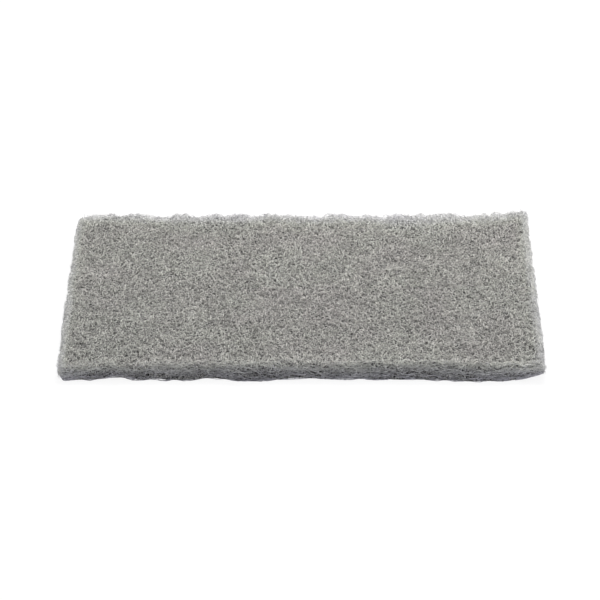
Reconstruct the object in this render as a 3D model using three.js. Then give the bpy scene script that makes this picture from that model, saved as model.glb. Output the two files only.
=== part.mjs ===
// Grey non-woven abrasive hand pad: one lofty web of crimped fibres, bonded with resin and cut
// square from the roll. It is a single solid in millimetres, +Z up, lying on its lower face, with
// the origin at the middle of that face. The length runs along X and the width along Y.
import * as THREE from "three";
import { mergeVertices } from "three/addons/utils/BufferGeometryUtils.js";

// The slab as it is cut
const PAD_LENGTH = 230;
const PAD_WIDTH = 150;
const LOFT = 9.6;

// The cut edge: a soft roll above, a tighter one below, ends that lean in towards the foot, and
// corners that have lost their points
const TOP_ROLL = 3.2;
const FOOT_ROLL = 0.8;
const END_LEAN = 2.2;
const CORNER_ROUND = 3;

// The upper face: broad unevenness of the web, crests of tangled strands with pores between them,
// and the roughness of single strands
const WAVE_HEIGHT = 0.5;
const WAVE_SPAN = 36;
const CREST_HEIGHT = 1.6;
const CREST_SPACING = 9;
const NAP_HEIGHT = 0.25;

// The lower face: pores between strands that the weight has pressed into one plane
const PORE_DEPTH = 1.6;
const PORE_SPACING = 9;

// The rim: ragged fibre ends all round, and ripples where the lower edge leaves the table
const FRAY_DEPTH = 0.8;
const FRAY_SPACING = 4.5;
const RIPPLE_HEIGHT = 1.9;
const RIPPLE_SPACING = 45;
const RIPPLE_REACH = 12;

// The right-hand corners: the far one curls up whole, the near one only lifts off underneath and
// has no ripples beside it
const CURL_HEIGHT = 4;
const CURL_REACH = 30;
const TUCK_HEIGHT = 5;
const TUCK_REACH = 18;
const TUCK_CALM = 45;

// Facets along the length, the width and the cut edge's section, and the share of a facet's side
// by which its corners stray
const COLUMNS = 58;
const ROWS = 38;
const PLIES = 6;
const STRAY = 0.16;

// A repeatable random number from -1 to 1 for a point of a lattice.
function scatter(i, j, seed) {
  const wave = Math.sin(i * 127.1 + j * 311.7 + seed * 74.7) * 43758.5453;
  return 2 * (wave - Math.floor(wave)) - 1;
}

// Smooth noise from -1 to 1 whose hills are about one spacing apart.
function hills(x, y, spacing, seed) {
  const i = Math.floor(x / spacing);
  const j = Math.floor(y / spacing);
  const u = THREE.MathUtils.smoothstep(x / spacing - i, 0, 1);
  const v = THREE.MathUtils.smoothstep(y / spacing - j, 0, 1);
  const near = THREE.MathUtils.lerp(scatter(i, j, seed), scatter(i + 1, j, seed), u);
  const far = THREE.MathUtils.lerp(scatter(i, j + 1, seed), scatter(i + 1, j + 1, seed), u);
  return THREE.MathUtils.lerp(near, far, v);
}

// Crests that wind through a face like tangled strands: 1 on a crest, down to 0 in a pore.
function crests(x, y, spacing, seed) {
  return 1 - Math.abs(hills(x, y, spacing, seed));
}

// The section of the cut edge, from the lower face round to the upper one: inset against height.
function edgeSection() {
  const section = new THREE.Path();
  section.moveTo(FOOT_ROLL, 0);
  section.absarc(FOOT_ROLL, FOOT_ROLL, FOOT_ROLL, -Math.PI / 2, -Math.PI, true);
  section.lineTo(0, LOFT - TOP_ROLL);
  section.absarc(TOP_ROLL, LOFT - TOP_ROLL, TOP_ROLL, Math.PI, Math.PI / 2, true);
  return section;
}

// A share that falls from 1 at a corner of the pad to 0 at reach.
function nearCorner(x, y, cornerX, cornerY, reach) {
  const away = Math.hypot(x - cornerX, y - cornerY) / reach;
  return Math.max(0, 1 - away) ** 2;
}

// How far the whole web has curled up from the table.
function curl(x, y) {
  return CURL_HEIGHT * nearCorner(x, y, PAD_LENGTH / 2, PAD_WIDTH / 2, CURL_REACH);
}

// How far the lower edge has lifted off the table: ripples along the rim, which die away inwards
// from it and are not all as high, and the near right corner.
function footLift(x, y) {
  const fromEnd = PAD_LENGTH / 2 - Math.abs(x);
  const fromSide = PAD_WIDTH / 2 - Math.abs(y);
  const along = fromEnd < fromSide ? y : x;
  const atRim = Math.max(0, 1 - Math.min(fromEnd, fromSide) / RIPPLE_REACH) ** 2;
  const ripple = (0.5 + 0.5 * Math.cos((2 * Math.PI * along) / RIPPLE_SPACING)) ** 3;
  const height = RIPPLE_HEIGHT * (0.75 + 0.25 * hills(x, y, RIPPLE_SPACING, 5));
  const fromTuck = Math.hypot(PAD_LENGTH / 2 - x, PAD_WIDTH / 2 + y);
  const calm = THREE.MathUtils.smoothstep(fromTuck, TUCK_REACH, TUCK_CALM);
  const tuck = TUCK_HEIGHT * nearCorner(x, y, PAD_LENGTH / 2, -PAD_WIDTH / 2, TUCK_REACH);
  return height * ripple * atRim * calm + tuck;
}

// The upper face's height over its mean.
function upperRelief(x, y) {
  const wave = WAVE_HEIGHT * hills(x, y, WAVE_SPAN, 1);
  const crest = CREST_HEIGHT * (crests(x, y, CREST_SPACING, 2) - 0.5);
  return wave + crest + NAP_HEIGHT * scatter(x, y, 4);
}

// The lower face's height over the table: only its pores leave it.
function lowerRelief(x, y) {
  return PORE_DEPTH * Math.max(0, 0.5 - crests(x, y, PORE_SPACING, 8));
}

// Moves a vertex of a unit slab, two by two in plan and one high, to its place in the web. Its
// height there is its share of the way round the section of the cut edge.
function weave(vertex, section) {
  const { x: inset, y: height } = section.getPointAt(vertex.z);
  const share = height / LOFT;
  const atEnd = Math.abs(vertex.x) === 1;
  const atSide = Math.abs(vertex.y) === 1;
  const rounding = atEnd && atSide ? CORNER_ROUND * (1 - Math.SQRT1_2) : 0;
  const lean = END_LEAN * (1 - share) ** 2;
  const x = vertex.x * (PAD_LENGTH / 2 - inset - rounding - lean);
  const y = vertex.y * (PAD_WIDTH / 2 - inset - rounding);
  const fray = FRAY_DEPTH * hills(x + y, height, FRAY_SPACING, 3);
  const strayX = ((STRAY * PAD_LENGTH) / COLUMNS) * scatter(x, y, 6);
  const strayY = ((STRAY * PAD_WIDTH) / ROWS) * scatter(x, y, 7);
  const relief = THREE.MathUtils.lerp(lowerRelief(x, y), upperRelief(x, y), share);
  vertex.set(
    x + (atEnd ? vertex.x * fray : strayX),
    y + (atSide ? vertex.y * fray : strayY),
    height + relief + curl(x, y) + footLift(x, y) * (1 - share),
  );
}

// The pad's surface: a unit slab whose vertices are woven into place, then set down on the origin.
function webGeometry() {
  const slab = new THREE.BoxGeometry(2, 2, 1, COLUMNS, ROWS, PLIES);
  slab.translate(0, 0, 0.5);
  slab.deleteAttribute("normal");
  slab.deleteAttribute("uv");
  const web = mergeVertices(slab);
  const places = web.getAttribute("position");
  const section = edgeSection();
  const vertex = new THREE.Vector3();
  for (let i = 0; i < places.count; i++) {
    weave(vertex.fromBufferAttribute(places, i), section);
    places.setXYZ(i, vertex.x, vertex.y, vertex.z);
  }
  web.computeBoundingBox();
  const middle = web.boundingBox.getCenter(new THREE.Vector3());
  web.translate(-middle.x, -middle.y, -web.boundingBox.min.z);
  web.computeVertexNormals();
  return web;
}

const greyWeb = new THREE.MeshStandardMaterial({ color: 0x92918d, roughness: 0.95, metalness: 0 });

const pad = new THREE.Mesh(webGeometry(), greyWeb);
pad.name = "abrasive_pad";

const part = new THREE.Group();
part.add(pad);

export default part;
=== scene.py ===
import math

import bpy
import numpy as np
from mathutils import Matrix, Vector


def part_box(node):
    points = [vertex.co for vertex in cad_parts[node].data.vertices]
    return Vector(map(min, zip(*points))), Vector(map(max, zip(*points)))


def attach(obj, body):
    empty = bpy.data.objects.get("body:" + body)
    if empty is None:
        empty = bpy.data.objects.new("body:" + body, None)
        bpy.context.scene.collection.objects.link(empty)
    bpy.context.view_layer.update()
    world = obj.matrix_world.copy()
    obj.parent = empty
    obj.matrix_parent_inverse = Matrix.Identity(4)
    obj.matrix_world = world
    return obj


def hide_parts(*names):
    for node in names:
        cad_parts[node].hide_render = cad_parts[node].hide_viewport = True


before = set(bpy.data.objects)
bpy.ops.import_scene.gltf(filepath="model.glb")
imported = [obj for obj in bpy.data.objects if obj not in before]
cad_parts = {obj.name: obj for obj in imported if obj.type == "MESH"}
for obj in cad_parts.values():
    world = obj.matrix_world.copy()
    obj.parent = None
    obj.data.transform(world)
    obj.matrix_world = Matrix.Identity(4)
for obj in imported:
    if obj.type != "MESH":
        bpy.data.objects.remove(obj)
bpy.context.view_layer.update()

# The web's core: the dense middle of the pad, where nylon fibres and resin close up. It is cured with
# the rest of the web as one lofty sheet and cut square with it. It stands back from the faces and the
# cut edges, so the looser strands outside it are seen over a darker ground, whose nearly black pores
# are painted shade for the depth between the strands.
MM = 0.001
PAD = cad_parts["abrasive_pad"]
PAD_LOW, PAD_HIGH = (np.array(corner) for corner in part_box("abrasive_pad"))
FRAY = 0.3 * MM
HALF_LENGTH, HALF_WIDTH = 0.5 * (PAD_HIGH - PAD_LOW)[:2] - FRAY
LOFT = 9.6 * MM
EDGE_ROLL, FOOT_ROLL = 3.2 * MM, 0.5 * MM
CORNER_ROLL_REACH = 14 * MM
END_LEAN = 1.6 * MM
FACE_CELL = 5 * MM
LEVEL_FACET = 0.8
LATTICE = 240
DROOP = 1.6 * MM
DROOP_REACH, DROOP_REACH_RIGHT = 18 * MM, 42 * MM
FRONT_BOW = 1.4 * MM
FRONT_BULGES = ((-26 * MM, 1.1 * MM, 8 * MM), (80 * MM, 1.3 * MM, 11 * MM))
FRONT_LOBES = (
    (-116 * MM, 0.7 * MM, 3 * MM),
    (-88 * MM, 0.85 * MM, 7 * MM),
    (-70 * MM, 0.7 * MM, 4 * MM),
    (-53 * MM, -0.8 * MM, 6 * MM),
    (-26 * MM, -0.65 * MM, 8 * MM),
    (22 * MM, 0.5 * MM, 14 * MM),
    (45 * MM, -1.1 * MM, 5 * MM),
    (80 * MM, -0.9 * MM, 11 * MM),
)
LOBE_DEPTH = 12 * MM
OPEN_BACK = 2.0 * MM
CORE_COLUMNS, CORE_ROWS, CORE_PLIES = 120, 78, 12
CORE_INSET = 1.6 * MM
CORE_INSET_AT_FOOT, CORE_INSET_GAIN = 0.2, 2
CORE_COVER, CORE_LIFT = 1.2 * MM, 0.1 * MM
CORE_ROUGH, CORE_ROUGH_SPAN = 0.3 * MM, 1.9 * MM
MAP_MARGIN = 0.01
NET_PLIES = ((600, 1.0, 0.0), (700, 0.8, 0.31), (800, 0.6, 0.57))
NET_WIDTH = 0.12


def facet_centres():
    """The frame's facets as two arrays: the middle of each one, and the way it faces."""
    polygons = PAD.data.polygons
    centres = np.zeros(3 * len(polygons), np.float32)
    facing = np.zeros_like(centres)
    polygons.foreach_get("center", centres)
    polygons.foreach_get("normal", facing)
    return centres.reshape(-1, 3), facing.reshape(-1, 3)


def face_heights(points, margin_x, margin_y):
    """A face of the frame as a grid of heights over the plan inside its margins: the mean height of the
    facets in each cell."""
    reach = np.array([HALF_LENGTH - margin_x, HALF_WIDTH - margin_y])
    cells = np.round(2 * reach / FACE_CELL).astype(int)
    span = np.stack([-reach, reach], -1)
    total = np.histogram2d(points[:, 0], points[:, 1], cells, span, weights=points[:, 2])[0]
    count = np.histogram2d(points[:, 0], points[:, 1], cells, span)[0]
    return total / np.maximum(count, 1), reach


def blend_four(grid, i, j):
    """Values between the points of a grid, blended from the four nearest, at fractional places i and j,
    and carried on half a cell past its ends."""
    i, j = np.clip(i, -0.5, grid.shape[0] - 0.5), np.clip(j, -0.5, grid.shape[1] - 0.5)
    low_i = np.clip(np.floor(i).astype(int), 0, grid.shape[0] - 2)
    low_j = np.clip(np.floor(j).astype(int), 0, grid.shape[1] - 2)
    part_i, part_j = i - low_i, j - low_j
    near = grid[low_i, low_j] * (1 - part_i) + grid[low_i + 1, low_j] * part_i
    far = grid[low_i, low_j + 1] * (1 - part_i) + grid[low_i + 1, low_j + 1] * part_i
    return near * (1 - part_j) + far * part_j


def height_at(face, x, y):
    """A face's height over a point of the plan, blended from the middles of the four nearest cells."""
    heights, reach = face
    columns, rows = heights.shape
    i, j = (x / reach[0] + 1) * columns / 2 - 0.5, (y / reach[1] + 1) * rows / 2 - 0.5
    return blend_four(heights, i, j)


def mottle(x, y, spacing, seed):
    """Smooth noise from -1 to 1: random values on a square lattice, blended between the four nearest."""
    lattice = np.random.default_rng(seed).uniform(-1, 1, (LATTICE + 1, LATTICE + 1))
    return blend_four(lattice, np.mod(x / spacing, LATTICE), np.mod(y / spacing, LATTICE))


def bells(x, rows):
    """A sum of bells along a line, each one given by its place, its height and its reach."""
    return sum(height * np.exp(-(((x - place) / reach) ** 2)) for place, height, reach in rows)


centres, facing = facet_centres()
upper_face = face_heights(centres[facing[:, 2] > LEVEL_FACET], EDGE_ROLL, EDGE_ROLL)
lower_face = face_heights(centres[facing[:, 2] < -LEVEL_FACET], FOOT_ROLL + END_LEAN, FOOT_ROLL)


def top_at(x, y):
    """The upper face's height over a point of the plan, which droops as a bell towards the two front
    corners, over a longer way at the right."""
    reach = np.where(x > 0, DROOP_REACH_RIGHT, DROOP_REACH)
    away = np.hypot((HALF_LENGTH - np.abs(x)) / reach, (HALF_WIDTH + y) / DROOP_REACH)
    return height_at(upper_face, x, y) - DROOP * np.exp(-(away**2))


def foot_at(x, y):
    """The lower face's height over a point of the plan. Along the front it rises and falls in lobes:
    each is a bell along the edge, and they fade inwards as an exponential."""
    fade = np.exp(-np.maximum(HALF_WIDTH + y, 0) / LOBE_DEPTH)
    return np.maximum(height_at(lower_face, x, y) + fade * bells(x, FRONT_LOBES), 0)


def front_bow(x):
    """How far the front edge stands out beyond a straight cut: as the fourth power of the way to an end,
    and in bulges."""
    return FRONT_BOW * np.clip(x / HALF_LENGTH, -1, 1) ** 4 + bells(x, FRONT_BULGES)


def edge_roll(x, y):
    """The radius of the roll above a cut edge over a point of the plan, which grows as a bell to twice
    its size at the right front corner."""
    away = np.hypot(HALF_LENGTH - x, HALF_WIDTH + y) / CORNER_ROLL_REACH
    return EDGE_ROLL * (1 + np.exp(-(away**2)))


def roll_inset(share, roll):
    """How far a cut edge falls back at a share of its height: a quarter circle at the top, a smaller one
    at the foot."""
    up = np.clip((share * LOFT - (LOFT - roll)) / roll, 0, 1)
    down = np.clip(1 - share * LOFT / FOOT_ROLL, 0, 1)
    return roll * (1 - np.sqrt(1 - up**2)) + FOOT_ROLL * (1 - np.sqrt(1 - down**2))


def end_lean(share):
    """How far an end leans in at a share of its height: most at the foot, falling off as a cube."""
    return END_LEAN * (1 - share) ** 3


def new_piece(name, vertices, corners, sizes, uv, material):
    """A mesh object from arrays: vertices, the corners of all faces in a row, and each face's corner
    count."""
    mesh = bpy.data.meshes.new(name)
    mesh.vertices.add(len(vertices))
    mesh.vertices.foreach_set("co", vertices.astype(np.float32).ravel())
    mesh.loops.add(len(corners))
    mesh.loops.foreach_set("vertex_index", corners.astype(np.int32))
    mesh.polygons.add(len(sizes))
    starts = np.concatenate([[0], np.cumsum(sizes)[:-1]])
    mesh.polygons.foreach_set("loop_start", starts.astype(np.int32))
    mesh.polygons.foreach_set("use_smooth", np.full(len(sizes), True))
    layer = mesh.uv_layers.new(name="OFBake")
    layer.data.foreach_set("uv", uv[corners].astype(np.float32).ravel())
    mesh.update()
    mesh.materials.append(material)
    piece = bpy.data.objects.new(name, mesh)
    bpy.context.scene.collection.objects.link(piece)
    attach(piece, "root")
    return piece


def box_lattice(columns, rows, plies):
    """The surface of a block of cells: its lattice points, each one once, and its faces' corners,
    outwards."""
    i, j = np.meshgrid(np.arange(columns), np.arange(rows), indexing="ij")
    k, m = np.meshgrid(np.arange(columns), np.arange(plies), indexing="ij")
    n, p = np.meshgrid(np.arange(rows), np.arange(plies), indexing="ij")

    def quads(*corners):
        """One side's faces, from the lattice places of their four corners."""
        corners = [np.stack(np.broadcast_arrays(*corner), -1) for corner in corners]
        return np.stack(corners, -2).reshape(-1, 4, 3)

    faces = np.concatenate([
        quads((i, j, plies), (i + 1, j, plies), (i + 1, j + 1, plies), (i, j + 1, plies)),
        quads((i, j, 0), (i, j + 1, 0), (i + 1, j + 1, 0), (i + 1, j, 0)),
        quads((k, 0, m), (k + 1, 0, m), (k + 1, 0, m + 1), (k, 0, m + 1)),
        quads((k, rows, m), (k, rows, m + 1), (k + 1, rows, m + 1), (k + 1, rows, m)),
        quads((0, n, p), (0, n, p + 1), (0, n + 1, p + 1), (0, n + 1, p)),
        quads((columns, n, p), (columns, n + 1, p), (columns, n + 1, p + 1), (columns, n, p + 1)),
    ])
    points, corners = np.unique(faces.reshape(-1, 3), axis=0, return_inverse=True)
    return points, corners.ravel()


def core_mesh():
    """The core: a block between the two faces, whose plan draws in with the roll of the cut edge and
    stands further back the higher it is, in a straight line up to its full inset. Its plies are closer
    together towards both faces, as a cosine. Its ends lean in towards the foot, its front follows the
    bow of the front edge, and along the back the web stays open for a little way in. On its map the
    upper half lies above the lower one."""
    points, corners = box_lattice(CORE_COLUMNS, CORE_ROWS, CORE_PLIES)
    u, v = 2 * points[:, 0] / CORE_COLUMNS - 1, 2 * points[:, 1] / CORE_ROWS - 1
    share = 0.5 - 0.5 * np.cos(np.pi * points[:, 2] / CORE_PLIES)
    roll = edge_roll(u * HALF_LENGTH, v * HALF_WIDTH)
    inset = CORE_INSET * np.clip(CORE_INSET_AT_FOOT + CORE_INSET_GAIN * share, 0, 1)
    inset = inset + roll_inset(share, roll)
    x = u * (HALF_LENGTH - inset - end_lean(share))
    y = v * (HALF_WIDTH - inset) - 0.5 * (1 + v) * OPEN_BACK - 0.5 * (1 - v) * front_bow(x)
    top = top_at(x, y) - CORE_COVER + CORE_ROUGH * mottle(x, y, CORE_ROUGH_SPAN, seed=11)
    foot = foot_at(x, y) + CORE_LIFT
    z = foot + share * (top - foot)
    upper = points[:, 2] > CORE_PLIES / 2
    map_u = 0.5 + (0.5 - MAP_MARGIN) * u
    map_v = 0.25 + (0.25 - MAP_MARGIN) * v + 0.5 * upper
    vertices, uv = np.stack([x, y, z], -1), np.stack([map_u, map_v], -1)
    return vertices, corners, np.full(len(corners) // 4, 4), uv


def strand_net():
    """A node group: curling strands as the walls between warped cells, 1 on a strand and 0 in a pore."""
    group = bpy.data.node_groups.new("strand_net", "ShaderNodeTree")
    group.interface.new_socket("Cells a metre", in_out="INPUT", socket_type="NodeSocketFloat")
    group.interface.new_socket("Width", in_out="INPUT", socket_type="NodeSocketFloat")
    group.interface.new_socket("Shift", in_out="INPUT", socket_type="NodeSocketVector")
    group.interface.new_socket("Strand", in_out="OUTPUT", socket_type="NodeSocketFloat")
    nodes, links = group.nodes, group.links
    inputs, outputs = nodes.new("NodeGroupInput"), nodes.new("NodeGroupOutput")
    place = nodes.new("ShaderNodeTexCoord")
    shift = nodes.new("ShaderNodeVectorMath")
    curl = nodes.new("ShaderNodeTexNoise")
    curl.inputs["Scale"].default_value = 900
    curl.inputs["Detail"].default_value = 1
    sway = nodes.new("ShaderNodeVectorMath")
    sway.operation = "MULTIPLY_ADD"
    sway.inputs[1].default_value = (0.0022, 0.0022, 0.0022)
    stretch = nodes.new("ShaderNodeVectorMath")
    stretch.operation = "MULTIPLY"
    stretch.inputs[1].default_value = (1, 0.55, 1)
    cells = nodes.new("ShaderNodeTexVoronoi")
    cells.feature = "DISTANCE_TO_EDGE"
    wall = nodes.new("ShaderNodeMapRange")
    wall.interpolation_type = "SMOOTHSTEP"
    wall.inputs["To Min"].default_value = 1
    wall.inputs["To Max"].default_value = 0
    links.new(place.outputs["Object"], shift.inputs[0])
    links.new(inputs.outputs["Shift"], shift.inputs[1])
    links.new(shift.outputs["Vector"], curl.inputs["Vector"])
    links.new(curl.outputs["Color"], sway.inputs[0])
    links.new(shift.outputs["Vector"], sway.inputs[2])
    links.new(sway.outputs["Vector"], stretch.inputs[0])
    links.new(stretch.outputs["Vector"], cells.inputs["Vector"])
    links.new(inputs.outputs["Cells a metre"], cells.inputs["Scale"])
    links.new(cells.outputs["Distance"], wall.inputs["Value"])
    links.new(inputs.outputs["Width"], wall.inputs["From Max"])
    links.new(wall.outputs["Result"], outputs.inputs["Strand"])
    return group


def resin_grit():
    """A node group: fine abrasive grain set in resin, as a roughness and a height that both follow
    noise."""
    group = bpy.data.node_groups.new("resin_grit", "ShaderNodeTree")
    group.interface.new_socket("Roughness", in_out="OUTPUT", socket_type="NodeSocketFloat")
    group.interface.new_socket("Height", in_out="OUTPUT", socket_type="NodeSocketFloat")
    nodes, links = group.nodes, group.links
    outputs = nodes.new("NodeGroupOutput")
    place = nodes.new("ShaderNodeTexCoord")
    grain = nodes.new("ShaderNodeTexNoise")
    grain.inputs["Scale"].default_value = 5000
    grain.inputs["Detail"].default_value = 2
    rough = nodes.new("ShaderNodeMapRange")
    rough.inputs["To Min"].default_value = 0.95
    rough.inputs["To Max"].default_value = 0.5
    links.new(place.outputs["Object"], grain.inputs["Vector"])
    links.new(grain.outputs["Fac"], rough.inputs["Value"])
    links.new(rough.outputs["Result"], outputs.inputs["Roughness"])
    links.new(grain.outputs["Fac"], outputs.inputs["Height"])
    return group


NET, GRIT = strand_net(), resin_grit()


def new_material(name):
    """A material, with its nodes, its links and its Principled shader."""
    material = bpy.data.materials.new(name)
    material.use_nodes = True
    nodes = material.node_tree.nodes
    return material, nodes, material.node_tree.links, nodes["Principled BSDF"]


def core_resin():
    """The core's material: plies of strands over each other, the highest one showing, pale on a strand
    and nearly black in a pore, which is painted shade for the depth between the strands, with darker
    and lighter stains."""
    material, nodes, links, shader = new_material("core_resin")
    shader.inputs["Specular IOR Level"].default_value = 0.2
    height = None
    for cells, share, shift in NET_PLIES:
        strands = nodes.new("ShaderNodeGroup")
        strands.node_tree = NET
        strands.inputs["Cells a metre"].default_value = cells
        strands.inputs["Width"].default_value = NET_WIDTH
        strands.inputs["Shift"].default_value = (shift, shift, shift)
        raised = nodes.new("ShaderNodeMath")
        raised.operation = "MULTIPLY"
        raised.inputs[1].default_value = share
        links.new(strands.outputs["Strand"], raised.inputs[0])
        if height is None:
            height = raised.outputs["Value"]
        else:
            over = nodes.new("ShaderNodeMath")
            over.operation = "MAXIMUM"
            links.new(height, over.inputs[0])
            links.new(raised.outputs["Value"], over.inputs[1])
            height = over.outputs["Value"]
    # Painted shade: the pores are nearly black, for the shade deep between the strands.
    strand_and_pore_shade = nodes.new("ShaderNodeValToRGB")
    strand_and_pore_shade.color_ramp.elements[0].position = 0.3
    strand_and_pore_shade.color_ramp.elements[0].color = (0.015, 0.015, 0.015, 1)
    strand_and_pore_shade.color_ramp.elements[1].color = (0.54, 0.53, 0.505, 1)
    between = strand_and_pore_shade.color_ramp.elements.new(0.42)
    between.color = (0.45, 0.45, 0.43, 1)
    place = nodes.new("ShaderNodeTexCoord")
    specks = nodes.new("ShaderNodeTexNoise")
    specks.inputs["Scale"].default_value = 1600
    specks.inputs["Detail"].default_value = 1
    stain = nodes.new("ShaderNodeMapRange")
    stain.inputs["From Min"].default_value = 0.3
    stain.inputs["From Max"].default_value = 0.7
    stain.inputs["To Min"].default_value = 0.3
    stain.inputs["To Max"].default_value = 1.4
    stained = nodes.new("ShaderNodeVectorMath")
    stained.operation = "SCALE"
    grit = nodes.new("ShaderNodeGroup")
    grit.node_tree = GRIT
    relief = nodes.new("ShaderNodeBump")
    relief.inputs["Distance"].default_value = 0.0004
    links.new(height, strand_and_pore_shade.inputs["Fac"])
    links.new(height, relief.inputs["Height"])
    links.new(place.outputs["Object"], specks.inputs["Vector"])
    links.new(specks.outputs["Fac"], stain.inputs["Value"])
    links.new(strand_and_pore_shade.outputs["Color"], stained.inputs[0])
    links.new(stain.outputs["Result"], stained.inputs["Scale"])
    links.new(stained.outputs["Vector"], shader.inputs["Base Color"])
    links.new(grit.outputs["Roughness"], shader.inputs["Roughness"])
    links.new(relief.outputs["Normal"], shader.inputs["Normal"])
    return material


core = new_piece("web_core", *core_mesh(), core_resin())
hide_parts("abrasive_pad")

# The upper strands: crimped nylon fibres, coated with resin and fine grit, that lie tangled over each
# other on the upper face and roll over its cut edges. Resin holds them where they cross. Towards the
# rim they are painted paler and cooler, as painted light for the light shining through the thin
# fringe, and where they hang over the front they are painted cooler still, as painted shade.
UPPER_STRANDS = 2150
UPPER_OVERHANG = 3 * MM
UPPER_LAYERS = (
    ("upper_strands_a", 31, (0.0 * MM, 0.5 * MM)),
    ("upper_strands_b", 32, (0.3 * MM, 0.9 * MM)),
    ("upper_strands_c", 33, (0.6 * MM, 1.4 * MM)),
)
STRAND_POINTS = 14
POINTS_A_CRIMP = 4
STRAND_SIDES = 3
STRAND_RADIUS = 0.14 * MM
STRAND_STOUTNESS = (0.8, 1.2)
LOWEST = 1.3 * STRAND_RADIUS
NEARLY_UP = np.array([0.05, 0.08, 1.0])
CRIMP = (2.6 * MM, 4.6 * MM)
FACE_SWING = (0.9, 1.6)
DRIFT, DRIFT_LENGTH = (-1, 1), (20 * MM, 40 * MM)
LAY = 1.3
DIVE = (0.3 * MM, 0.7 * MM)
DIVE_LENGTH = (2.5 * MM, 6 * MM)
HANG = (4 * MM, 7.5 * MM)
ANY_TURN = (0, 2 * np.pi)
END_STRAY, SIDE_STRAY, STRAY_SPAN = 0.5 * MM, 0.9 * MM, 4 * MM
LEFT_END_OUT, RIGHT_END_SLANT = 0.4 * MM, 0.5 * MM
CORNER_ROUND = 2.5 * MM
BACK_LIP, BACK_LIP_REACH = 1.0 * MM, 4 * MM
BACK_BUMPS = ((0.7, 12 * MM, 28), (1.0, 4 * MM, 29), (0.9, 2 * MM, 30))
LIP_HEIGHT, LIP_SLANT = 1.45, 1.2
LEFT_DIP, LEFT_DIP_REACH = 2.4, 4 * MM
RIGHT_DIP, RIGHT_DIP_REACH = 3.0, 7.5 * MM
CALM_RIGHT, CALM_RIGHT_REACH = 0.8, 16 * MM
CHART_MARGIN, CHART_RING, CHART_RUN = 0.03, 0.006, 0.012
FACE_TONE, FACE_TINT = 0.7, 0.34
PATCHES = ((0.6, 14 * MM, 21), (0.4, 6 * MM, 22))
PATCH_TONE = 0.09
SPECK_LIGHT, SPECK_DARK = 0.22, 0.65
DARK_STRAND = 0.4
TINT_PATCH, TINT_SPAN, TINT_STRAY = 0.3, 16 * MM, 0.06
# Painted light and painted cool tint near each rim, for light shining through the thin fringe.
RIM_PAINTED_LIGHT = {"back": 0.66, "front": 0.2, "right": 0.3, "left": 0.28}
RIM_PAINTED_COOL = {"back": 0.41, "front": 0.0, "right": 0.34, "left": 0.28}
RIM_REACH = {"back": 6 * MM, "front": 2.5 * MM, "right": 3.2 * MM, "left": 2.2 * MM}
PAINTED_COOL_REACH = 1.4
FRONT_PAINTED_LIGHT_FADE = 0.5
# Painted cool shade on the strands that hang over the front.
FRONT_PAINTED_COOL_SHADE = 0.75
LESS_GRIT_BACK, LESS_GRIT_ENDS, LESS_GRIT_REACH = 0.35, 0.6, 7 * MM
TINY, TINIER = 1e-9, 1e-12


def over_edge(along, half, roll, hang):
    """Where a distance from the middle, measured over the surface, falls on a face that rolls over a
    cut edge: the distance out in plan, the drop from the face, and the lean of the surface. The roll is
    a quarter circle with a straight drop below it, and what would hang lower than hang turns back."""
    reach = half + (0.5 * np.pi - 2) * roll + hang
    run = reach - np.abs(reach - np.abs(along))
    beyond = np.maximum(run - (half - roll), 0)
    lean = np.minimum(beyond / roll, 0.5 * np.pi)
    out = np.minimum(run, half - roll) + roll * np.sin(lean)
    drop = roll * (1 - np.cos(lean)) + np.maximum(beyond - 0.5 * np.pi * roll, 0)
    return np.sign(along) * out, drop, np.sign(along) * lean


def end_slant(x, y):
    """How far an end stands out beyond a square cut: the left one evenly, the right one more and more
    towards the back."""
    return np.where(x > 0, RIGHT_END_SLANT * y / HALF_WIDTH, LEFT_END_OUT)


def round_corners(x, y):
    """Places of the plan drawn in to its rounded corners: what lies further from a corner's centre than
    its radius moves straight back to it."""
    beyond_x = np.maximum(np.abs(x) - HALF_LENGTH - end_slant(x, y) + CORNER_ROUND, 0)
    bow = np.where(y < 0, front_bow(x), 0)
    beyond_y = np.maximum(np.abs(y) - HALF_WIDTH - bow + CORNER_ROUND, 0)
    keep = np.minimum(CORNER_ROUND / (np.hypot(beyond_x, beyond_y) + TINY), 1)
    cornered = (beyond_x > 0) & (beyond_y > 0)
    back = np.where(cornered, 1 - keep, 0)
    return x - np.sign(x) * back * beyond_x, y - np.sign(y) * back * beyond_y


def back_lip(u, v):
    """How far the upper face turns up along the back: in bumps that calm down as a bell at the right end,
    higher to the right in a straight line, and dipping at the corners, at the left as an exponential and
    at the right as a bell. All of it falls off inwards as an exponential."""
    left, right = np.maximum(HALF_LENGTH + u, 0), np.maximum(HALF_LENGTH - u, 0)
    bumps = sum(height * mottle(u, 0 * u, span, seed) for height, span, seed in BACK_BUMPS)
    bumps = bumps * (1 - CALM_RIGHT * np.exp(-((right / CALM_RIGHT_REACH) ** 2)))
    dips = LEFT_DIP * np.exp(-left / LEFT_DIP_REACH)
    dips = dips + RIGHT_DIP * np.exp(-((right / RIGHT_DIP_REACH) ** 2))
    rise = LIP_HEIGHT + LIP_SLANT * u / HALF_LENGTH + bumps - dips
    return BACK_LIP * rise * np.exp(-np.maximum(HALF_WIDTH - v, 0) / BACK_LIP_REACH)


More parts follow.
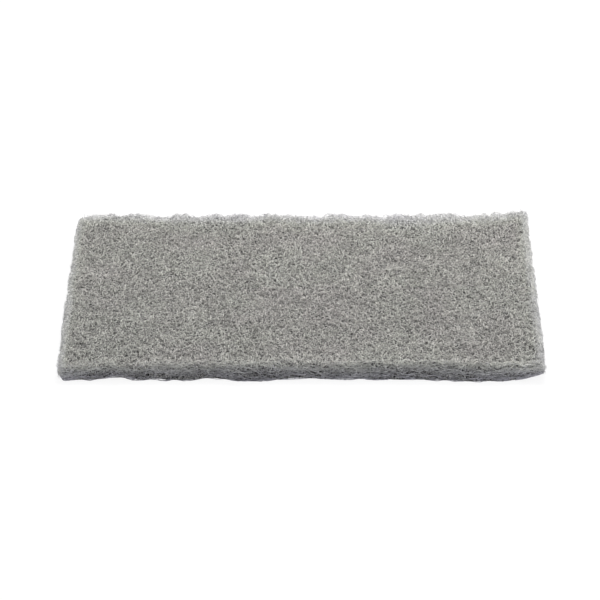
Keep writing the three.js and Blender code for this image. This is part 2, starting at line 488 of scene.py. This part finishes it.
def on_face(u, v, depth, facing, hang, short):
    """Points at a depth under a face of the pad, given by distances over its surface. facing is 1 for
    the upper face and -1 for the lower one, and short is how far the face stops short of the rim at the
    back."""
    roll = edge_roll(u, v) if facing > 0 else FOOT_ROLL
    half_length = HALF_LENGTH - END_LEAN * (facing < 0) + end_slant(u, v)
    half_length = half_length + END_STRAY * mottle(v, u, STRAY_SPAN, seed=24)
    half_width = HALF_WIDTH + np.where(v > 0, -short, front_bow(u))
    half_width = half_width + SIDE_STRAY * mottle(u, v, STRAY_SPAN, seed=25)
    x, drop_x, lean_x = over_edge(u, half_length, roll, hang)
    y, drop_y, lean_y = over_edge(v, half_width, roll, hang)
    x, y = round_corners(x, y)
    foot = foot_at(x, y)
    level = top_at(x, y) + back_lip(u, v) if facing > 0 else foot
    z = np.maximum(level - facing * np.maximum(drop_x, drop_y), foot)
    normal = np.stack([np.sin(lean_x), np.sin(lean_y), facing * np.cos(lean_x) * np.cos(lean_y)], -1)
    normal /= np.linalg.norm(normal, axis=-1, keepdims=True) + TINY
    return np.stack([x, y, z], -1) - depth[..., None] * normal


def draws(rng, count):
    """A way to draw evenly between two limits, once for each of a count of strands."""
    return lambda low, high: rng.uniform(low, high, (count, 1))


def crimped_paths(rng, count, crimp, swing, heading):
    """Paths in a plane from their middles: the heading of each swings as a sine of the length, which is
    the crimp, and drifts as a slower one. Also gives the length run at each point."""
    draw = draws(rng, count)
    crimp = draw(*crimp)
    step = crimp / POINTS_A_CRIMP
    length = step * np.arange(STRAND_POINTS)
    swing = draw(*swing) * np.sin(2 * np.pi * length / crimp + draw(*ANY_TURN))
    drift = draw(*DRIFT) * np.sin(2 * np.pi * length / draw(*DRIFT_LENGTH) + draw(*ANY_TURN))
    heading = heading + swing + drift
    u, v = np.cumsum(step * np.cos(heading), 1), np.cumsum(step * np.sin(heading), 1)
    middle = STRAND_POINTS // 2
    return u - u[:, middle, None], v - v[:, middle, None], length


def strand_tubes(paths, radius, chart):
    """Three-sided tubes along paths: at each point three corners on a circle square to the path, joined
    to those of the next point, with a triangle at each end. chart is each point's place on the colour
    chart, and its corners stand round that."""
    count, points = paths.shape[:2]
    paths[..., 2] = np.maximum(paths[..., 2], LOWEST)
    along = np.gradient(paths, axis=1)
    along /= np.linalg.norm(along, axis=-1, keepdims=True) + TINIER
    side = np.cross(along, NEARLY_UP)
    side /= np.linalg.norm(side, axis=-1, keepdims=True) + TINIER
    over = np.cross(side, along)
    turn = 2 * np.pi * np.arange(STRAND_SIDES) / STRAND_SIDES + np.pi / 6
    ring = np.cos(turn)[:, None] * side[:, :, None] + np.sin(turn)[:, None] * over[:, :, None]
    vertices = (paths[:, :, None] + radius[..., None, None] * ring).reshape(-1, 3)
    index = np.arange(count * points * STRAND_SIDES).reshape(count, points, STRAND_SIDES)
    here, there = index[:, :-1], index[:, 1:]
    sides = np.stack([here, np.roll(here, -1, 2), np.roll(there, -1, 2), there], -1).reshape(-1, 4)
    ends = np.concatenate([index[:, 0, ::-1], index[:, -1]])
    corners = np.concatenate([sides.ravel(), ends.ravel()])
    sizes = np.concatenate([np.full(len(sides), 4), np.full(len(ends), STRAND_SIDES)])
    around = CHART_RING * np.stack([np.cos(turn), np.sin(turn)], -1)
    run = np.stack([np.linspace(-CHART_RUN, CHART_RUN, points), np.zeros(points)], -1)
    chart = np.clip(chart, CHART_MARGIN, 1 - CHART_MARGIN)
    uv = chart[:, :, None] + run[:, None] + around
    return vertices, corners, sizes, uv.reshape(-1, 2)


def chart_place(rng, u, v, tone, tint, grit):
    """Each point's place on the colour chart: light or dark across it, warm or cool up it, by broad
    patches of the web, by strand, as the cube of an even draw, and by specks of grit along the strand,
    as the square of one."""
    draw = draws(rng, len(u))
    patch = sum(depth * mottle(u, v, span, seed) for depth, span, seed in PATCHES)
    specks = SPECK_LIGHT - SPECK_DARK * rng.uniform(0, 1, u.shape) ** 2
    light = tone + PATCH_TONE * patch - DARK_STRAND * draw(0, 1) ** 3 + grit * specks
    tint_patch = TINT_PATCH * (1 - tint) * mottle(u, v, TINT_SPAN, seed=23)
    coolness = tint + tint_patch + draw(-TINT_STRAY, TINT_STRAY)
    return np.stack([light, coolness], -1)


def near_rim(u, v):
    """How much painted light and painted cool tint a face gets near its rim, and how much of its grit is
    left. The paler tone is painted light, for the light shining through the thin fringe: it is palest
    at the rim itself, falling off inwards as an exponential, over the edge as a straight line, and
    along the front as one towards the ends. The cool tint is painted too: along the rims it stands for
    the cool light through the fringe and falls off inwards as a flat bell, and over the front it is
    painted cool shade that grows with the drop. The sides differ. The grit lessens in a straight line
    towards the back and as an exponential towards the ends."""
    inside = {
        "back": HALF_WIDTH - v,
        "front": HALF_WIDTH + v,
        "right": HALF_LENGTH - u,
        "left": HALF_LENGTH + u,
    }
    painted_light, painted_cool = np.zeros_like(u), np.zeros_like(u)
    # Painted light and painted cool tint along each rim.
    for side, most in RIM_PAINTED_LIGHT.items():
        in_from_rim = np.maximum(inside[side], 0)
        inwards = np.exp(-in_from_rim / RIM_REACH[side])
        over = np.clip(1 + inside[side] / HANG[1], 0, 1)
        along = 1 - FRONT_PAINTED_LIGHT_FADE * np.abs(u) / HALF_LENGTH if side == "front" else 1
        painted_light = np.maximum(painted_light, most * along * inwards * over)
        bell = np.exp(-((in_from_rim / (PAINTED_COOL_REACH * RIM_REACH[side])) ** 3))
        painted_cool = np.maximum(painted_cool, RIM_PAINTED_COOL[side] * bell)
    # Painted cool shade on what hangs over the front, growing with the drop.
    hung = np.clip(-inside["front"] / HANG[1], 0, 1)
    painted_cool = np.maximum(painted_cool, FRONT_PAINTED_COOL_SHADE * hung)
    ends = np.exp(-np.maximum(HALF_LENGTH - np.abs(u), 0) / LESS_GRIT_REACH)
    grit = 1 - np.maximum(LESS_GRIT_BACK * np.clip(v / HALF_WIDTH, 0, 1), LESS_GRIT_ENDS * ends)
    return painted_light, painted_cool, grit


def dives(rng, length):
    """How a strand dives and surfaces: a sine of its length."""
    draw = draws(rng, len(length))
    return draw(*DIVE) * np.sin(2 * np.pi * length / draw(*DIVE_LENGTH) + draw(*ANY_TURN))


def face_strands(rng, starts, depths, facing, short):
    """Crimped strands laid under a face, each from a starting place on it, and drawn out across the
    pad."""
    start_u, start_v = starts
    draw = draws(rng, len(start_u))
    u, v, length = crimped_paths(rng, len(start_u), CRIMP, FACE_SWING, draw(*ANY_TURN))
    u, v = u + start_u, LAY * v + start_v
    depth = draw(*depths) + dives(rng, length)
    paths = on_face(u, v, depth, facing, draw(*HANG), short)
    radius = STRAND_RADIUS * draw(*STRAND_STOUTNESS) * np.ones(STRAND_POINTS)
    # Painted light and painted cool tint near the rim, painted cool shade over the front.
    painted_light, painted_cool, grit = near_rim(u, v)
    chart = chart_place(rng, u, v, FACE_TONE + painted_light, FACE_TINT + painted_cool, grit)
    return strand_tubes(paths, radius, chart)


def over_face(rng, count, overhang):
    """Places spread evenly over a face and an overhang past its edges: one at random in each cell of a
    grid."""
    half = np.array([HALF_LENGTH, HALF_WIDTH]) + overhang
    columns = round(math.sqrt(count * half[0] / half[1]))
    rows = count // columns
    row, column = np.divmod(np.arange(columns * rows)[:, None], columns)
    u = (2 * (column + rng.uniform(0, 1, column.shape)) / columns - 1) * half[0]
    v = (2 * (row + rng.uniform(0, 1, row.shape)) / rows - 1) * half[1]
    return u, v


def coated_nylon():
    """The strands' material: the place on the colour chart gives light or dark by its first part and
    the tint by its second, and the grit gives roughness and a fine relief."""
    material, nodes, links, shader = new_material("coated_nylon")
    shader.inputs["Specular IOR Level"].default_value = 0.3
    place = nodes.new("ShaderNodeUVMap")
    place.uv_map = "OFBake"
    split = nodes.new("ShaderNodeSeparateXYZ")
    light = nodes.new("ShaderNodeValToRGB")
    light.color_ramp.elements[0].color = (0.14, 0.14, 0.14, 1)
    light.color_ramp.elements[1].color = (0.86, 0.86, 0.86, 1)
    coolness = nodes.new("ShaderNodeValToRGB")
    coolness.color_ramp.elements[0].position = 0.05
    coolness.color_ramp.elements[0].color = (1.0, 0.945, 0.935, 1)
    coolness.color_ramp.elements[1].color = (0.945, 0.925, 1.0, 1)
    olive = coolness.color_ramp.elements.new(0.45)
    olive.color = (0.985, 0.995, 0.92, 1)
    neutral = coolness.color_ramp.elements.new(0.75)
    neutral.color = (0.962, 0.965, 0.962, 1)
    dye = nodes.new("ShaderNodeMix")
    dye.data_type = "RGBA"
    dye.blend_type = "MULTIPLY"
    dye.inputs["Factor"].default_value = 1
    grit = nodes.new("ShaderNodeGroup")
    grit.node_tree = GRIT
    relief = nodes.new("ShaderNodeBump")
    relief.inputs["Distance"].default_value = 0.00005
    links.new(place.outputs["UV"], split.inputs["Vector"])
    links.new(split.outputs["X"], light.inputs["Fac"])
    links.new(split.outputs["Y"], coolness.inputs["Fac"])
    links.new(light.outputs["Color"], dye.inputs["A"])
    links.new(coolness.outputs["Color"], dye.inputs["B"])
    links.new(dye.outputs["Result"], shader.inputs["Base Color"])
    links.new(grit.outputs["Roughness"], shader.inputs["Roughness"])
    links.new(grit.outputs["Height"], relief.inputs["Height"])
    links.new(relief.outputs["Normal"], shader.inputs["Normal"])
    return material


nylon = coated_nylon()
for name, seed, depths in UPPER_LAYERS:
    rng = np.random.default_rng(seed)
    starts = over_face(rng, UPPER_STRANDS, UPPER_OVERHANG)
    new_piece(name, *face_strands(rng, starts, depths, 1, OPEN_BACK), nylon)

# The cut edges: strands that run round the pad inside its four cut sides. Most are level, because the
# web is laid in level layers, and along the foot the knife has pressed them together.
EDGE_STRANDS = 1450
EDGE_CRIMP = (CRIMP[1], 1.7 * CRIMP[1])
EDGE_SWING = (0.5, 1.2)
EDGE_START = (-0.08, 1.0)
EDGE_CLIMB = 0.45
EDGE_LOW, EDGE_HIGH = 0.012, 0.97
EDGE_DEPTH = (0.0, 1.2 * MM)
EDGE_DIVE = 0.6
PRESSED_AT_FOOT, PRESSED_GAIN = 0.3, 2
BACK_FACING, BACK_CLOSED = 0.7, 0.8
# Painted shade: the edge strands are darker towards the foot.
EDGE_TONE, FOOT_PAINTED_SHADE = 0.77, 0.2
# Painted light: the edge strands are paler towards the ends, most at the right.
RIGHT_PAINTED_LIGHT, RIGHT_PAINTED_LIGHT_REACH = 0.34, 30 * MM
LEFT_PAINTED_LIGHT, LEFT_PAINTED_LIGHT_REACH = 0.3, 8 * MM
# Painted cool shade: the edge strands are cooler towards the foot.
FOOT_PAINTED_COOL_SHADE, PAINTED_COOL_FALL = 1.0, 0.6


def outline(along):
    """A point of the cut outline, a rectangle with round corners, by its distance round it: its place,
    the way out from it, and the whole length round. Sides and quarter circles take turns: along a side
    the place runs on, and round a quarter circle the way out turns."""
    straight = 2 * np.array([HALF_LENGTH, HALF_WIDTH, HALF_LENGTH, HALF_WIDTH]) - 2 * CORNER_ROUND
    arc = 0.5 * np.pi * CORNER_ROUND
    stops = np.concatenate([[0], np.cumsum(np.stack([straight, np.full(4, arc)], -1).ravel())])
    along = np.mod(along, stops[-1])
    turned = np.interp(along, stops, 0.5 * np.pi * np.array([0, 0, 1, 1, 2, 2, 3, 3, 4]))
    out = np.stack([np.sin(turned), -np.cos(turned)], -1)
    inner = np.array([HALF_LENGTH, HALF_WIDTH]) - CORNER_ROUND
    x = np.interp(along, stops, inner[0] * np.array([-1, 1, 1, 1, 1, -1, -1, -1, -1]))
    y = np.interp(along, stops, inner[1] * np.array([-1, -1, -1, 1, 1, 1, 1, -1, -1]))
    return np.stack([x, y], -1) + CORNER_ROUND * out, out, stops[-1]


ROUND_THE_PAD = outline(np.zeros(1))[2]


def on_edge(along, share, depth):
    """Points at a depth behind the cut edge, by their distance round it and their share of its height.
    The edge falls back with its roll, its ends lean in, and it strays in and out with noise."""
    place, out, _ = outline(along)
    lean = end_lean(share) * np.abs(out[..., 0])
    stray = SIDE_STRAY * mottle(along, share * LOFT, STRAY_SPAN, seed=26)
    back = depth + roll_inset(share, edge_roll(place[..., 0], place[..., 1])) + lean - stray
    place = place - back[..., None] * out
    place[..., 0] += end_slant(place[..., 0], place[..., 1]) * out[..., 0]
    place[..., 1] -= front_bow(place[..., 0]) * np.clip(-out[..., 1], 0, 1)
    top = top_at(place[..., 0], place[..., 1])
    foot = foot_at(place[..., 0], place[..., 1])
    return np.concatenate([place, (foot + share * (top - foot))[..., None]], -1)


def closed_share(along):
    """The share of the cut edge's height that is closed by strands: all of it, apart from the open
    back."""
    return np.where(outline(along)[1][..., 1] > BACK_FACING, BACK_CLOSED, 1.0)


def edge_strands(rng, count):
    """Crimped strands behind the cut edges, headed along them. They turn back under the upper face, lie
    along the foot where they reach it, and are pressed outwards towards it, where they are painted
    darker and cooler as painted shade. Towards the ends they are painted paler, as exponentials: painted
    light on the corners."""
    draw = draws(rng, count)
    level = np.pi * rng.integers(0, 2, (count, 1))
    u, v, length = crimped_paths(rng, count, EDGE_CRIMP, EDGE_SWING, level)
    u = u + draw(0, ROUND_THE_PAD)
    share = draw(*EDGE_START) + EDGE_CLIMB * v / LOFT
    share = np.maximum(EDGE_HIGH - np.abs(EDGE_HIGH - share), EDGE_LOW) * closed_share(u)
    depth = draw(*EDGE_DEPTH) + EDGE_DIVE * dives(rng, length)
    depth = depth * np.clip(PRESSED_AT_FOOT + PRESSED_GAIN * share, 0, 1)
    paths = on_edge(u, share, depth)
    radius = STRAND_RADIUS * draw(*STRAND_STOUTNESS) * np.ones(STRAND_POINTS)
    x = paths[..., 0]
    # Painted light towards the ends, and painted shade towards the foot.
    painted_light = RIGHT_PAINTED_LIGHT * np.exp((x - HALF_LENGTH) / RIGHT_PAINTED_LIGHT_REACH)
    painted_light = painted_light + LEFT_PAINTED_LIGHT * np.exp((-x - HALF_LENGTH) / LEFT_PAINTED_LIGHT_REACH)
    tone = EDGE_TONE + painted_light - FOOT_PAINTED_SHADE * (1 - share) ** 2
    # Painted cool shade towards the foot.
    return strand_tubes(paths, radius, chart_place(rng, u, v, tone, FOOT_PAINTED_COOL_SHADE - PAINTED_COOL_FALL * share, 1))


new_piece("edge_strands", *edge_strands(np.random.default_rng(41), EDGE_STRANDS), nylon)

# The loose ends: fine fibres that the cut has freed all round the rim. Some stand out from the edge and
# curl, longest along the back, where loops of whole strands lie over the rim too. The rest lie felted
# on the rim.
LOOSE_ENDS, CORNER_FUZZ = 1700, 600
CORNER_FUZZ_REACH = 7 * MM
FIBRE_POINTS = 6
FIBRE_RADIUS = 0.09 * MM
LOOSE_STOUTNESS, FELT_STOUTNESS = (0.7, 1.3), (0.8, 1.3)
LOOSE_SHARE, LOOSE_SHARE_POWER = (0.25, 1.0), 0.7
LOOSE_DEPTH = (0.3 * MM, 1.0 * MM)
LOOSE_YAW, LOOSE_YAW_TURN = (-1.1, 1.1), (-1.6, 1.6)
LOOSE_PITCH, LOOSE_PITCH_TURN = (0.0, 1.0), (-0.5, 0.8)
LOOSE_LENGTH, LOOSE_SHORTER = (1.4 * MM, 3.4 * MM), 0.55
# Painted light: the loose ends are nearly white and cool, for light shining through the thin fibres.
LOOSE_PAINTED_LIGHT_TONE, LOOSE_PAINTED_COOL_TINT = 0.95, 0.75
FRINGE_STRANDS = 800
FRINGE_DEPTH = (-0.9 * MM, 1.2 * MM)
RIM_SIDES = {"back": (0, 1), "front": (0, -1), "right": (1, 0), "left": (-1, 0)}
RIM_OVERHANG = 1.5 * MM
FELTED_FIBRES = {"back": 1100, "front": 500, "right": 1400, "left": 1400}
FELT_TURN = (-1.8, 1.8)
FELT_LENGTH = (2 * MM, 4.5 * MM)
FELT_DEPTH, FELT_TILT = (-0.7 * MM, 0.5 * MM), (-0.4 * MM, 0.4 * MM)
FELT_TONE = 0.8


def loose_ends(rng, along):
    """Fibres that start inside the cut edge and run outwards, turning and bending evenly along their
    length. They are longest at the back."""
    draw = draws(rng, len(along))
    share = draw(*LOOSE_SHARE) ** LOOSE_SHARE_POWER * closed_share(along)
    start = on_edge(along, share, draw(*LOOSE_DEPTH))
    out = outline(along)[1]
    across = np.stack([-out[..., 1], out[..., 0]], -1)
    run = np.linspace(0, 1, FIBRE_POINTS)
    yaw = draw(*LOOSE_YAW) + draw(*LOOSE_YAW_TURN) * run
    pitch = draw(*LOOSE_PITCH) + draw(*LOOSE_PITCH_TURN) * run
    level = np.cos(yaw)[..., None] * out + np.sin(yaw)[..., None] * across
    way = np.concatenate([np.cos(pitch)[..., None] * level, np.sin(pitch)[..., None]], -1)
    longer_at_back = LOOSE_SHORTER + (1 - LOOSE_SHORTER) * np.clip(out[..., 1], 0, 1)
    length = draw(*LOOSE_LENGTH) * longer_at_back
    step = length[..., None] / (FIBRE_POINTS - 1)
    paths = start + np.cumsum(step * way, 1) - step * way[:, :1]
    radius = FIBRE_RADIUS * draw(*LOOSE_STOUTNESS) * np.ones(FIBRE_POINTS)
    u, v = along + 0 * run, share * LOFT + 0 * run
    # Painted light for the thin fibres.
    return strand_tubes(paths, radius, chart_place(rng, u, v, LOOSE_PAINTED_LIGHT_TONE, LOOSE_PAINTED_COOL_TINT, 1))


def along_rim(rng, side, count):
    """Random places along one side of a face, thinning out inwards from a little past its rim as an
    exponential."""
    out = np.array(RIM_SIDES[side])
    across = np.abs(out[::-1]) * rng.uniform(-1, 1, (count, 1))
    inwards = rng.exponential(RIM_REACH[side], (count, 1)) - RIM_OVERHANG
    places = np.array([HALF_LENGTH, HALF_WIDTH]) * (out + across) - inwards * out
    return places[:, :1], places[:, 1:]


def felted_fibres(rng, start_u, start_v):
    """Fine fibres that lie on the upper face, each from a starting place, turning evenly along their
    length."""
    draw = draws(rng, len(start_u))
    run = np.linspace(0, 1, FIBRE_POINTS)
    heading = draw(*ANY_TURN) + draw(*FELT_TURN) * run
    step = draw(*FELT_LENGTH) / (FIBRE_POINTS - 1)
    u = start_u + np.cumsum(step * np.cos(heading), 1)
    v = start_v + np.cumsum(step * np.sin(heading), 1)
    depth = draw(*FELT_DEPTH) + draw(*FELT_TILT) * run
    paths = on_face(u, v, depth, 1, draw(*HANG), 0)
    radius = FIBRE_RADIUS * draw(*FELT_STOUTNESS) * np.ones(FIBRE_POINTS)
    # Painted light and painted cool tint near the rim, painted cool shade over the front.
    painted_light, painted_cool, grit = near_rim(u, v)
    chart = chart_place(rng, u, v, FELT_TONE + painted_light, FACE_TINT + painted_cool, grit)
    return strand_tubes(paths, radius, chart)


rng = np.random.default_rng(61)
front_corners = rng.choice([2 * HALF_LENGTH - CORNER_ROUND, -CORNER_ROUND], (CORNER_FUZZ, 1))
starts = np.concatenate([
    rng.uniform(0, ROUND_THE_PAD, (LOOSE_ENDS, 1)),
    front_corners + rng.normal(0, CORNER_FUZZ_REACH, (CORNER_FUZZ, 1)),
])
new_piece("loose_ends", *loose_ends(rng, starts), nylon)
starts = along_rim(rng, "back", FRINGE_STRANDS)
new_piece("back_fringe", *face_strands(rng, starts, FRINGE_DEPTH, 1, 0), nylon)
starts = zip(*(along_rim(rng, side, count) for side, count in FELTED_FIBRES.items()))
new_piece("felted_fibres", *felted_fibres(rng, *(np.concatenate(axis) for axis in starts)), nylon)

# The lower strands: the same crimped and coated fibres on the face that lies on the table. Resin holds
# them where they cross, and the pad's weight presses them level.
LOWER_STRANDS = 500
LOWER_MARGIN = 4 * MM
LOWER_DEPTH = (0.0, 0.4 * MM)
rng = np.random.default_rng(51)
starts = over_face(rng, LOWER_STRANDS, -LOWER_MARGIN)
new_piece("lower_strands", *face_strands(rng, starts, LOWER_DEPTH, -1, 0), nylon)

# The studio: a wide pale floor that keeps the pad's soft shadow, an even sky, and one soft box above
# and behind. What the camera sees of floor and sky is white, and the camera stands at the photograph's
# angle.
FLOOR_REACH = 12.0
SOFT_BOX_DISTANCE = 0.65
SOFT_BOX_BACK = math.radians(25)
SOFT_BOX_RIGHT = math.radians(8)
CAMERA_ELEVATION = math.radians(28.9)
CAMERA_DISTANCE = 1.469
CAMERA_AIM = (-0.0012, 0.0034, 0)


def seen_rays(nodes, links):
    """1 for a ray from the camera, a mirror or glass, which sees the white background, and 0 for the
    rest."""
    path = nodes.new("ShaderNodeLightPath")
    seen = path.outputs["Is Camera Ray"]
    for kind in ("Is Glossy Ray", "Is Transmission Ray"):
        either = nodes.new("ShaderNodeMath")
        either.operation = "MAXIMUM"
        links.new(seen, either.inputs[0])
        links.new(path.outputs[kind], either.inputs[1])
        seen = either.outputs["Value"]
    return seen


floor_mesh = bpy.data.meshes.new("floor")
floor_sides = ((-1, -1), (1, -1), (1, 1), (-1, 1))
floor_corners = [(FLOOR_REACH * x, FLOOR_REACH * y, 0) for x, y in floor_sides]
floor_mesh.from_pydata(floor_corners, [], [(0, 1, 2, 3)])
floor = bpy.data.objects.new("floor", floor_mesh)
bpy.context.scene.collection.objects.link(floor)
pale_floor, nodes, links, shader = new_material("pale_floor")
shader.inputs["Roughness"].default_value = 0.9
shader.inputs["Specular IOR Level"].default_value = 0.1
shader.inputs["Emission Color"].default_value = (1, 1, 1, 1)
seen = seen_rays(nodes, links)
paint = nodes.new("ShaderNodeMix")
paint.data_type = "RGBA"
paint.inputs["A"].default_value = (0.72, 0.72, 0.74, 1)
paint.inputs["B"].default_value = (0.13, 0.13, 0.13, 1)
glow = nodes.new("ShaderNodeMath")
glow.operation = "MULTIPLY"
glow.inputs[1].default_value = 0.89
links.new(seen, paint.inputs["Factor"])
links.new(paint.outputs["Result"], shader.inputs["Base Color"])
links.new(seen, glow.inputs[0])
links.new(glow.outputs["Value"], shader.inputs["Emission Strength"])
floor_mesh.materials.append(pale_floor)

world = bpy.data.worlds.new("studio")
bpy.context.scene.world = world
world.use_nodes = True
nodes, links = world.node_tree.nodes, world.node_tree.links
sky = nodes["Background"]
sky.inputs["Strength"].default_value = 1.0
haze = nodes.new("ShaderNodeMix")
haze.data_type = "RGBA"
haze.inputs["A"].default_value = (0.62, 0.625, 0.66, 1)
haze.inputs["B"].default_value = (1, 1, 1, 1)
links.new(seen_rays(nodes, links), haze.inputs["Factor"])
links.new(haze.outputs["Result"], sky.inputs["Color"])

soft_box_data = bpy.data.lights.new("soft_box", "AREA")
soft_box_data.energy = 4.05
soft_box_data.color = (1, 0.975, 0.93)
soft_box_data.size = 0.35
soft_box = bpy.data.objects.new("soft_box", soft_box_data)
bpy.context.scene.collection.objects.link(soft_box)
soft_box.rotation_euler = (-SOFT_BOX_BACK, SOFT_BOX_RIGHT, 0)
soft_box.location = (
    SOFT_BOX_DISTANCE * math.cos(SOFT_BOX_BACK) * math.sin(SOFT_BOX_RIGHT),
    SOFT_BOX_DISTANCE * math.sin(SOFT_BOX_BACK),
    SOFT_BOX_DISTANCE * math.cos(SOFT_BOX_BACK) * math.cos(SOFT_BOX_RIGHT),
)

camera_data = bpy.data.cameras.new("camera")
camera_data.lens = 177.8
camera_data.sensor_width = 36
camera_data.clip_end = 60
camera = bpy.data.objects.new("camera", camera_data)
bpy.context.scene.collection.objects.link(camera)
camera.location = (
    CAMERA_AIM[0],
    CAMERA_AIM[1] - CAMERA_DISTANCE * math.cos(CAMERA_ELEVATION),
    CAMERA_AIM[2] + CAMERA_DISTANCE * math.sin(CAMERA_ELEVATION),
)
camera.rotation_euler = (math.pi / 2 - CAMERA_ELEVATION, 0, 0)
bpy.context.scene.camera = camera
bpy.context.scene.view_settings.view_transform = "Standard"
